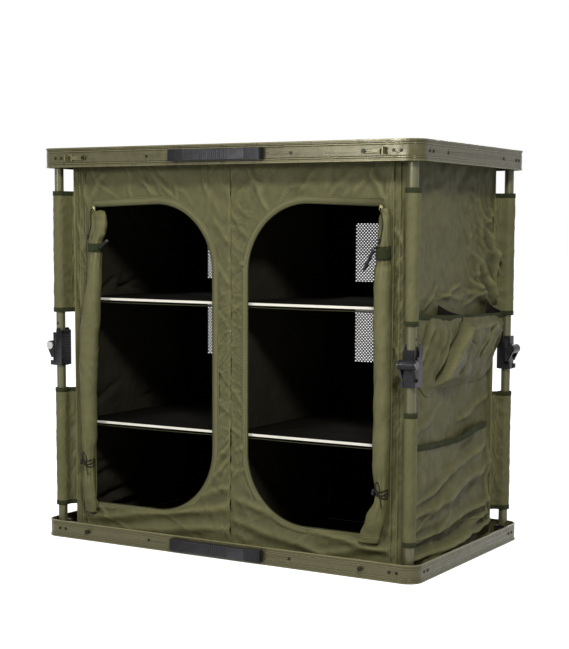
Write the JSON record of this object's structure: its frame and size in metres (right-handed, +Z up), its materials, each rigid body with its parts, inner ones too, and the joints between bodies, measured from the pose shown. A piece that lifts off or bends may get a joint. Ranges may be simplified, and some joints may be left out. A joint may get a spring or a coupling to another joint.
{
  "type": "collapsible storage box",
  "caption": "Fabric cupboard on folding knee-jointed legs between two rimmed trays, with shelves, rolled doors and side pockets; closes flat like a suitcase.",
  "frame": {"origin": "centre of the base board's underside, which lies flush with the base rim's lower edge", "axes": "+Z up, -Y to the front with the doors, +X to the right; the cupboard stands open at rest"},
  "size_m": [0.8404, 0.4938, 0.78],
  "materials": {
    "rim_paint": "satin olive coating",
    "board_laminate": "dark laminate, fine grain",
    "leg_tube": "satin olive coating",
    "black_plastic": "moulded, lightly worn",
    "black_rubber": "soft grip",
    "bright_steel": "plated",
    "olive_fabric": "coated plain weave",
    "dark_fabric": "webbing and zip tape",
    "pale_net": "fine net",
    "shelf_board": "pale laminated board",
    "zip_metal": "dark plating",
    "pull_cord": "braided cord",
    "pull_plastic": "moulded"
  },
  "bodies": {
    "base_tray": {"base_rim_rails": "rim_paint", "base_rim_corners": "rim_paint", "base_board": "board_laminate", "base_rivets": "bright_steel", "base_leg_brackets": "black_plastic", "base_hinge_pins": "bright_steel", "base_handle_caps": "black_plastic", "latch_studs": "bright_steel", "cabinet_front": "olive_fabric", "cabinet_sides": "olive_fabric", "cabinet_back": "olive_fabric", "centre_divider": "dark_fabric", "back_nets": "pale_net", "side_pockets": "olive_fabric", "corner_sleeves": "olive_fabric", "zip_tracks": "dark_fabric", "rolled_doors": "olive_fabric", "door_ties": "dark_fabric", "zip_sliders": "zip_metal", "zip_pull_left": "pull_cord", "zip_pull_right": "pull_cord", "zip_pull_tips": "pull_plastic"},
    "base_grip": {"base_handle_grip": "black_rubber"},
    "lower_leg_front_left": {"lower_tube_front_left": "leg_tube", "lower_knuckle_front_left": "black_plastic", "knee_pin_front_left": "bright_steel"},
    "clip_front_left": {"lock_clip_front_left": "black_plastic"},
    "upper_leg_front_left": {"upper_tube_front_left": "leg_tube", "upper_knuckle_front_left": "black_plastic"},
    "lower_leg_front_right": {"lower_tube_front_right": "leg_tube", "lower_knuckle_front_right": "black_plastic", "knee_pin_front_right": "bright_steel"},
    "clip_front_right": {"lock_clip_front_right": "black_plastic"},
    "upper_leg_front_right": {"upper_tube_front_right": "leg_tube", "upper_knuckle_front_right": "black_plastic"},
    "lower_leg_rear_right": {"lower_tube_rear_right": "leg_tube", "lower_knuckle_rear_right": "black_plastic", "knee_pin_rear_right": "bright_steel"},
    "clip_rear_right": {"lock_clip_rear_right": "black_plastic"},
    "upper_leg_rear_right": {"upper_tube_rear_right": "leg_tube", "upper_knuckle_rear_right": "black_plastic"},
    "lower_leg_rear_left": {"lower_tube_rear_left": "leg_tube", "lower_knuckle_rear_left": "black_plastic", "knee_pin_rear_left": "bright_steel"},
    "clip_rear_left": {"lock_clip_rear_left": "black_plastic"},
    "upper_leg_rear_left": {"upper_tube_rear_left": "leg_tube", "upper_knuckle_rear_left": "black_plastic"},
    "top_tray": {"top_rim_rails": "rim_paint", "top_rim_corners": "rim_paint", "top_board": "board_laminate", "top_rivets": "bright_steel", "top_leg_brackets": "black_plastic", "top_hinge_pins": "bright_steel", "top_handle_caps": "black_plastic", "latch_pivots": "bright_steel"},
    "top_grip": {"top_handle_grip": "black_rubber"},
    "latch_arm_left": {"latch_left": "rim_paint"},
    "latch_arm_right": {"latch_right": "rim_paint"},
    "shelf_level_upper": {"upper_shelf_boards": "shelf_board"},
    "shelf_level_lower": {"lower_shelf_boards": "shelf_board"}
  },
  "joints": [
    {"name": "fold", "type": "hinge", "parent": "base_tray", "child": "lower_leg_front_left", "pos_m": [-0.394, -0.214, 0.0199], "axis": [0, 1, 0], "range_deg": [0, 90], "deforming": ["cabinet_front", "cabinet_sides", "cabinet_back", "centre_divider", "back_nets", "side_pockets", "corner_sleeves", "zip_tracks", "rolled_doors", "door_ties", "zip_sliders", "zip_pull_left", "zip_pull_right", "zip_pull_tips"]},
    {"name": "knee_front_left", "type": "hinge", "parent": "lower_leg_front_left", "child": "upper_leg_front_left", "pos_m": [-0.4085, -0.214, 0.388], "axis": [0, 1, 0], "range_deg": [-180, 0]},
    {"name": "clip_slide_front_left", "type": "slide", "parent": "lower_leg_front_left", "child": "clip_front_left", "axis": [0, 0, -1], "range_m": [0, 0.036]},
    {"name": "foot_front_right", "type": "hinge", "parent": "base_tray", "child": "lower_leg_front_right", "pos_m": [0.394, -0.214, 0.0199], "axis": [-1, 0, 0], "range_deg": [0, 90]},
    {"name": "knee_front_right", "type": "hinge", "parent": "lower_leg_front_right", "child": "upper_leg_front_right", "pos_m": [0.394, -0.2285, 0.388], "axis": [-1, 0, 0], "range_deg": [-180, 0]},
    {"name": "clip_slide_front_right", "type": "slide", "parent": "lower_leg_front_right", "child": "clip_front_right", "axis": [0, 0, -1], "range_m": [0, 0.036]},
    {"name": "foot_rear_right", "type": "hinge", "parent": "base_tray", "child": "lower_leg_rear_right", "pos_m": [0.394, 0.214, 0.0199], "axis": [0, -1, 0], "range_deg": [0, 90]},
    {"name": "knee_rear_right", "type": "hinge", "parent": "lower_leg_rear_right", "child": "upper_leg_rear_right", "pos_m": [0.4085, 0.214, 0.388], "axis": [0, -1, 0], "range_deg": [-180, 0]},
    {"name": "clip_slide_rear_right", "type": "slide", "parent": "lower_leg_rear_right", "child": "clip_rear_right", "axis": [0, 0, -1], "range_m": [0, 0.036]},
    {"name": "foot_rear_left", "type": "hinge", "parent": "base_tray", "child": "lower_leg_rear_left", "pos_m": [-0.394, 0.214, 0.0199], "axis": [1, 0, 0], "range_deg": [0, 90]},
    {"name": "knee_rear_left", "type": "hinge", "parent": "lower_leg_rear_left", "child": "upper_leg_rear_left", "pos_m": [-0.394, 0.2285, 0.388], "axis": [1, 0, 0], "range_deg": [-180, 0]},
    {"name": "clip_slide_rear_left", "type": "slide", "parent": "lower_leg_rear_left", "child": "clip_rear_left", "axis": [0, 0, -1], "range_m": [0, 0.036]},
    {"name": "head_front_left", "type": "hinge", "parent": "upper_leg_front_left", "child": "top_tray", "pos_m": [-0.394, -0.214, 0.7561], "axis": [0, 1, 0], "range_deg": [0, 90]},
    {"name": "base_handle_pull", "type": "slide", "parent": "base_tray", "child": "base_grip", "axis": [0, -1, 0], "range_m": [0, 0.008]},
    {"name": "top_handle_pull", "type": "slide", "parent": "top_tray", "child": "top_grip", "axis": [0, -1, 0], "range_m": [0, 0.008]},
    {"name": "latch_left_turn", "type": "hinge", "parent": "top_tray", "child": "latch_arm_left", "pos_m": [-0.31, -0.241, 0.76], "axis": [0, -1, 0], "range_deg": [0, 90]},
    {"name": "latch_right_turn", "type": "hinge", "parent": "top_tray", "child": "latch_arm_right", "pos_m": [0.31, -0.241, 0.76], "axis": [0, 1, 0], "range_deg": [0, 90]},
    {"name": "upper_shelf_drop", "type": "slide", "parent": "base_tray", "child": "shelf_level_upper", "axis": [0, 0, -1], "range_m": [0, 0.4402]},
    {"name": "lower_shelf_drop", "type": "slide", "parent": "base_tray", "child": "shelf_level_lower", "axis": [0, 0, -1], "range_m": [0, 0.2162]}
  ],
  "couplings": [
    {"joint": "knee_front_left", "follows": "fold", "ratio": -2},
    {"joint": "foot_front_right", "follows": "fold", "ratio": 1},
    {"joint": "knee_front_right", "follows": "fold", "ratio": -2},
    {"joint": "foot_rear_right", "follows": "fold", "ratio": 1},
    {"joint": "knee_rear_right", "follows": "fold", "ratio": -2},
    {"joint": "foot_rear_left", "follows": "fold", "ratio": 1},
    {"joint": "knee_rear_left", "follows": "fold", "ratio": -2},
    {"joint": "head_front_left", "follows": "fold", "ratio": 1},
    {"joint": "upper_shelf_drop", "follows": "fold", "m_per_rad": 0.28011},
    {"joint": "lower_shelf_drop", "follows": "fold", "m_per_rad": 0.13751}
  ]
}
